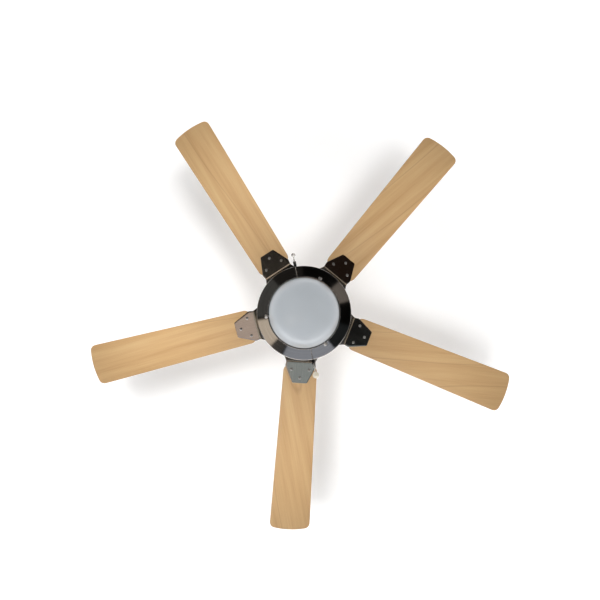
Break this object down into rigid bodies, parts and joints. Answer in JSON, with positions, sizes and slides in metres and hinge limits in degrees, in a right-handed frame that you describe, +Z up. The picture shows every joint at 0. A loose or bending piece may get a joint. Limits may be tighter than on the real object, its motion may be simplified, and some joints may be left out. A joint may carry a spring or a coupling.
{
  "type": "ceiling fan with light",
  "caption": "Ceiling fan hung on a short rod: pitched wooden blades on folded metal irons round a brushed metal hub, an opal glass bowl light below it, and hanging pull chains.",
  "frame": {"origin": "centre of the two outlet-box slots, on the top face of the hanger bracket's plate, which lies on the ceiling", "axes": "+Z up, out of the ceiling plate; the fan hangs below, along -Z, which is also the fan's axis; +X along the line of the two slots and towards the reversing switch; the speed chain hangs on -Y and the light chain on +Y"},
  "size_m": [1.2373, 1.2735, 0.587],
  "materials": {
    "bracket_steel": "zinc-plated sheet steel, satin",
    "housing_nickel": "brushed nickel plate over steel, circumferential brushing",
    "rod_nickel": "nickel-plated steel tube",
    "iron_nickel": "polished black-nickel plated steel plate",
    "ring_nickel": "spun and brushed black-nickel plated ring",
    "screw_steel": "nickel-plated screws",
    "shaft_steel": "turned steel",
    "ball_polymer": "moulded glass-filled nylon",
    "yoke_iron": "cast, painted grey",
    "bell_aluminium": "die-cast",
    "core_steel": "stacked electrical-steel laminations",
    "winding_copper": "enamelled copper wire",
    "blade_beech": "beech veneer, satin lacquer",
    "wire_pvc": "PVC insulation",
    "nut_nylon": "moulded nylon",
    "switch_nylon": "moulded nylon",
    "switch_black": "moulded black plastic",
    "capacitor_case": "moulded case",
    "nozzle_black": "black-nickel plated brass",
    "chain_steel": "nickel-plated bead chain",
    "pendant_ivory": "moulded ivory pendant",
    "holder_phenolic": "moulded lampholder",
    "lamp_glass": "frosted lamp glass",
    "bowl_opal": "opal glass, fire-polished"
  },
  "bodies": {
    "ceiling_bracket": {"hanger_bracket": "bracket_steel", "canopy": "housing_nickel", "canopy_screws": "screw_steel"},
    "fan_frame": {"hanger_ball": "ball_polymer", "ball_pin": "shaft_steel", "downrod": "rod_nickel", "lead_wires": "wire_pvc", "wire_nuts": "nut_nylon", "coupling_cover": "housing_nickel", "yoke": "yoke_iron", "clevis_pin": "shaft_steel", "cotter_pin": "shaft_steel", "yoke_screws": "shaft_steel", "shaft": "shaft_steel", "shaft_nut": "shaft_steel", "bearing_inner_rings": "shaft_steel", "stator_core": "core_steel", "windings": "winding_copper", "motor_housing_upper": "housing_nickel", "motor_housing_lower": "housing_nickel", "housing_screws": "screw_steel", "switch_plate": "bracket_steel", "switch_housing": "housing_nickel", "side_screws": "screw_steel", "capacitor": "capacitor_case", "chain_switches": "switch_nylon", "chain_nozzles": "nozzle_black", "reverse_switch": "switch_black", "light_pan": "ring_nickel", "lamp_bracket": "bracket_steel", "lampholders": "holder_phenolic", "lamps": "lamp_glass", "glass_bowl": "bowl_opal"},
    "rotor": {"bearing_outer_rings": "shaft_steel", "rotor_core": "core_steel", "bell_upper": "bell_aluminium", "bell_lower": "bell_aluminium", "bell_screws": "screw_steel", "iron_1": "iron_nickel", "iron_2": "iron_nickel", "iron_3": "iron_nickel", "iron_4": "iron_nickel", "iron_5": "iron_nickel", "blade_1": "blade_beech", "blade_2": "blade_beech", "blade_3": "blade_beech", "blade_4": "blade_beech", "blade_5": "blade_beech", "iron_screws": "screw_steel", "blade_screws": "screw_steel"},
    "speed_pull": {"speed_chain": "chain_steel", "speed_chain_ball": "chain_steel"},
    "light_pull": {"light_chain": "chain_steel", "light_chain_pendant": "pendant_ivory"},
    "reverse_knob": {"reverse_slider": "switch_black"},
    "thumbscrew_a": {"thumbscrew_1": "screw_steel"},
    "thumbscrew_b": {"thumbscrew_2": "screw_steel"},
    "thumbscrew_c": {"thumbscrew_3": "screw_steel"}
  },
  "joints": [
    {"name": "ball_swing", "type": "hinge", "parent": "ceiling_bracket", "child": "fan_frame", "pos_m": [0, 0, -0.032], "axis": [0, 1, 0], "range_deg": [-7, 7]},
    {"name": "rotor_spin", "type": "hinge", "parent": "fan_frame", "child": "rotor", "pos_m": [0, 0, -0.21], "axis": [0, 0, 1], "continuous": true},
    {"name": "speed_pull_slide", "type": "slide", "parent": "fan_frame", "child": "speed_pull", "axis": [0, 0, -1], "range_m": [0, 0.012], "stiffness_N_per_m": 300, "springref_m": -0.004},
    {"name": "light_pull_slide", "type": "slide", "parent": "fan_frame", "child": "light_pull", "axis": [0, 0, -1], "range_m": [0, 0.012], "stiffness_N_per_m": 300, "springref_m": -0.004},
    {"name": "reverse_knob_slide", "type": "slide", "parent": "fan_frame", "child": "reverse_knob", "axis": [0, 0, 1], "range_m": [0, 0.006]},
    {"name": "thumbscrew_a_slide", "type": "slide", "parent": "fan_frame", "child": "thumbscrew_a", "axis": [0.4115, 0.9114, 0], "range_m": [0, 0.0035]},
    {"name": "thumbscrew_b_slide", "type": "slide", "parent": "fan_frame", "child": "thumbscrew_b", "axis": [-0.9951, -0.0993, 0], "range_m": [0, 0.0035]},
    {"name": "thumbscrew_c_slide", "type": "slide", "parent": "fan_frame", "child": "thumbscrew_c", "axis": [0.5835, -0.8121, 0], "range_m": [0, 0.0035]}
  ]
}
